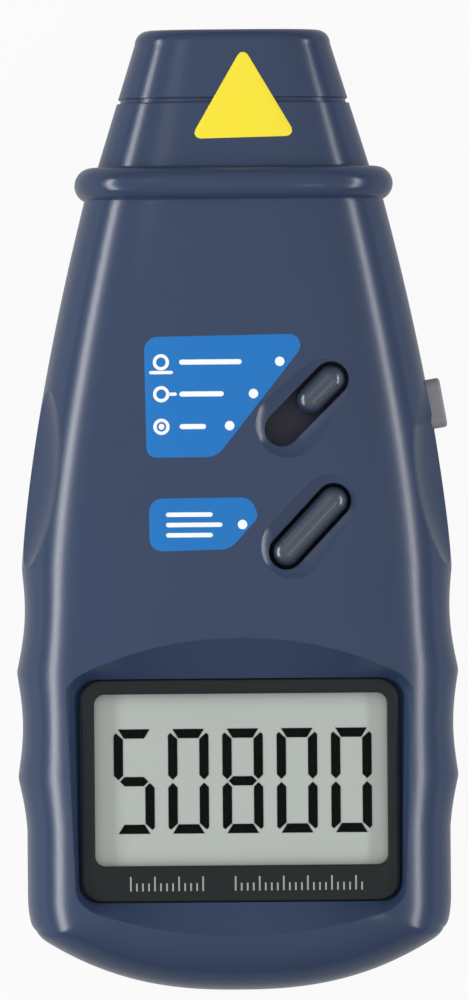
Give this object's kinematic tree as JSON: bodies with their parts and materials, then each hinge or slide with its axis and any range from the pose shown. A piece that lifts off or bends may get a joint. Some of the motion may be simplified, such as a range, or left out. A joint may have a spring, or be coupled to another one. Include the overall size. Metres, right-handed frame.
{
  "type": "handheld laser tachometer",
  "caption": "Handheld laser tachometer with a tapered waisted case, collared nose, sunk display, diagonal mode slider and memory bar, side test button and sliding battery door.",
  "frame": {"origin": "under the middle of the case, on the plane of its flat back", "axes": "+X across the case to the right of the display, +Y along the case towards the nose, +Z out of the display"},
  "size_m": [0.0736, 0.16, 0.0373],
  "materials": {
    "case_plastic": "satin moulded ABS with a fine eggshell grain",
    "clear_window": "clear polished plate",
    "bezel_plastic": "smooth charcoal plate",
    "lcd_glass": "grey-green liquid-crystal glass",
    "black_plastic": "black moulded plastic",
    "connector_rubber": "layered conductive rubber",
    "board_laminate": "green solder-masked laminate",
    "bright_metal": "nickel-plated sheet and wire",
    "control_plastic": "slightly glossier moulded plastic",
    "pale_plastic": "pale moulded plastic",
    "button_grey": "grey moulded plastic",
    "laser_brass": "turned brass",
    "cell_jacket": "plain printed steel jacket",
    "screw_steel": "zinc-plated steel"
  },
  "bodies": {
    "case": {"front_case": "case_plastic", "back_case": "case_plastic", "nose_cap": "case_plastic", "nose_window": "clear_window", "display_lens": "clear_window", "receiver_lens": "clear_window", "display_bezel": "bezel_plastic", "lcd_panel": "lcd_glass", "lcd_holder": "black_plastic", "mode_switch": "black_plastic", "memory_switch": "black_plastic", "test_switch": "black_plastic", "optics_block": "black_plastic", "controller_chip": "black_plastic", "photo_sensor": "black_plastic", "zebra_strips": "connector_rubber", "main_board": "board_laminate", "quartz_crystal": "bright_metal", "optic_leads": "bright_metal", "battery_springs": "bright_metal", "battery_plates": "bright_metal", "laser_module": "laser_brass", "battery_cell_1": "cell_jacket", "battery_cell_2": "cell_jacket", "battery_cell_3": "cell_jacket", "battery_cell_4": "cell_jacket", "case_screws": "screw_steel", "board_screws": "screw_steel"},
    "mode_control": {"mode_knob": "control_plastic", "mode_slider": "control_plastic"},
    "memory_control": {"memory_button": "control_plastic", "memory_plunger": "pale_plastic"},
    "test_control": {"test_button": "button_grey", "test_plunger": "pale_plastic"},
    "door": {"battery_door": "case_plastic"}
  },
  "joints": [
    {"name": "mode_slide", "type": "slide", "parent": "case", "child": "mode_control", "axis": [-0.7071, -0.7071, 0], "range_m": [0, 0.0068]},
    {"name": "memory_press", "type": "slide", "parent": "case", "child": "memory_control", "axis": [0, 0, -1], "range_m": [0, 0.0008], "stiffness_N_per_m": 800},
    {"name": "test_press", "type": "slide", "parent": "case", "child": "test_control", "axis": [-0.985, -0.1728, 0], "range_m": [0, 0.0012], "stiffness_N_per_m": 800},
    {"name": "battery_door_slide", "type": "slide", "parent": "case", "child": "door", "axis": [0, -1, 0], "range_m": [0, 0.07]}
  ]
}
